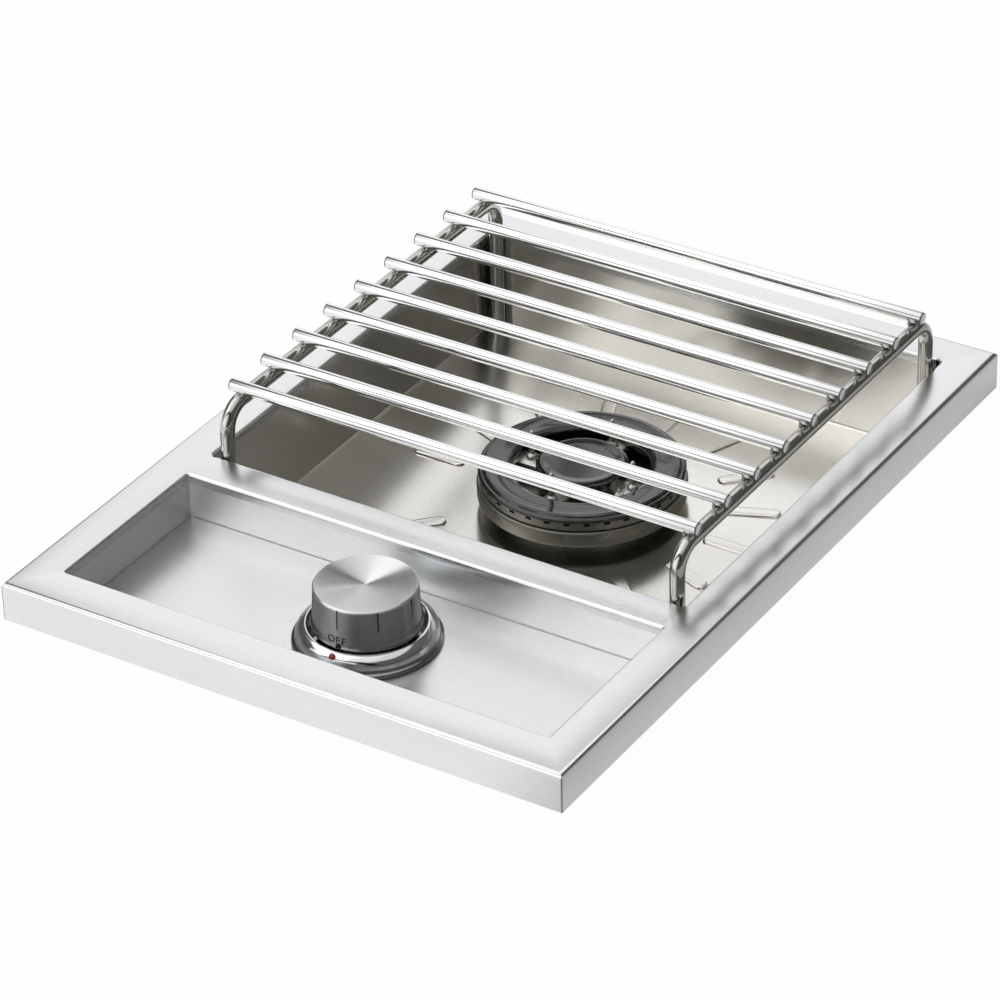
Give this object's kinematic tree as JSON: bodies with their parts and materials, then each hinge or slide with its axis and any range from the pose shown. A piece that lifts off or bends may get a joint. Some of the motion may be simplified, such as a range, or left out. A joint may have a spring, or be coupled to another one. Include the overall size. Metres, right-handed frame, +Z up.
{
  "type": "built in side burner",
  "caption": "Drop-in gas side burner with a folded steel frame, control tray with push-and-turn knob, deep burner well, ring burner and lift-off rod grate",
  "frame": {"origin": "middle of the underside of the casing", "axes": "+Z up, +Y from the control tray to the back wall, +X to the right as seen from the knob"},
  "size_m": [0.37, 0.505, 0.1575],
  "materials": {
    "brushed_frame": "satin brushed stainless sheet",
    "tray_steel": "satin stainless sheet",
    "pan_steel": "bright annealed stainless sheet",
    "casing_steel": "plain steel sheet",
    "polished_rod": "polished stainless rod",
    "knob_metal": "spun and lacquered metal",
    "bezel_chrome": "bright chrome",
    "burner_alloy": "as-cast alloy",
    "cap_enamel": "dark vitreous enamel",
    "brass": "turned brass",
    "zinc_steel": "zinc plated",
    "electrode_ceramic": "white glazed ceramic",
    "black_plastic": "matt black",
    "red_paint": "red enamel paint"
  },
  "bodies": {
    "root": {"top_frame": "brushed_frame", "control_tray": "tray_steel", "well_pan": "pan_steel", "casing_shell": "casing_steel", "casing_nut_1": "zinc_steel", "casing_nut_2": "zinc_steel", "casing_nut_3": "zinc_steel", "casing_nut_4": "zinc_steel", "burner_cup": "burner_alloy", "burner_screw_1": "zinc_steel", "burner_screw_2": "zinc_steel", "burner_screw_3": "zinc_steel", "burner_screw_4": "zinc_steel", "injector_holder": "burner_alloy", "outer_jet": "brass", "inner_jet": "brass", "ignition_electrode": "electrode_ceramic", "electrode_terminal": "brass", "knob_bezel": "bezel_chrome", "bezel_indicator": "red_paint", "valve_body": "brass", "valve_lock_nut": "zinc_steel", "valve_bracket": "zinc_steel", "left_bezel_screw": "zinc_steel", "right_bezel_screw": "zinc_steel", "piezo_igniter": "black_plastic", "outer_feed_tube": "burner_alloy", "inner_feed_tube": "burner_alloy", "supply_pipe": "zinc_steel", "inlet_nipple": "brass", "inner_lock_nut": "brass", "outer_lock_nut": "brass", "ignition_lead": "black_plastic"},
    "plug": {"valve_plug": "brass", "stem_spring": "zinc_steel"},
    "knob": {"knob_shell": "knob_metal", "knob_core": "black_plastic", "valve_stem": "brass"},
    "igniter_button": {"piezo_button": "electrode_ceramic"},
    "crown": {"flame_crown": "burner_alloy"},
    "large_cap": {"outer_cap": "cap_enamel"},
    "small_cap": {"inner_cap": "cap_enamel"},
    "grate": {"grate_rod_1": "polished_rod", "grate_rod_2": "polished_rod", "grate_rod_3": "polished_rod", "grate_rod_4": "polished_rod", "grate_rod_5": "polished_rod", "grate_rod_6": "polished_rod", "grate_rod_7": "polished_rod", "grate_rod_8": "polished_rod", "grate_rod_9": "polished_rod", "grate_left_rail": "polished_rod", "grate_right_rail": "polished_rod"}
  },
  "joints": [
    {"name": "knob_turn", "type": "hinge", "parent": "root", "child": "plug", "pos_m": [0, -0.1593, 0.05], "axis": [0, 0, 1], "range_deg": [0, 225]},
    {"name": "knob_push", "type": "slide", "parent": "plug", "child": "knob", "axis": [0, 0, -1], "range_m": [0, 0.003], "stiffness_N_per_m": 1500, "springref_m": -0.004, "deforming": ["stem_spring"]},
    {"name": "button_press", "type": "slide", "parent": "root", "child": "igniter_button", "axis": [0, 0, -1], "range_m": [0, 0.003]},
    {"name": "crown_lift", "type": "slide", "parent": "root", "child": "crown", "axis": [0, 0, 1], "range_m": [0, 0.025]},
    {"name": "outer_cap_lift", "type": "slide", "parent": "crown", "child": "large_cap", "axis": [0, 0, 1], "range_m": [0, 0.03]},
    {"name": "inner_cap_lift", "type": "slide", "parent": "crown", "child": "small_cap", "axis": [0, 0, 1], "range_m": [0, 0.04]},
    {"name": "grate_lift", "type": "slide", "parent": "root", "child": "grate", "axis": [0, 0, 1], "range_m": [0, 0.12]}
  ],
  "couplings": [
    {"joint": "button_press", "follows": "knob_push", "ratio": 1}
  ]
}
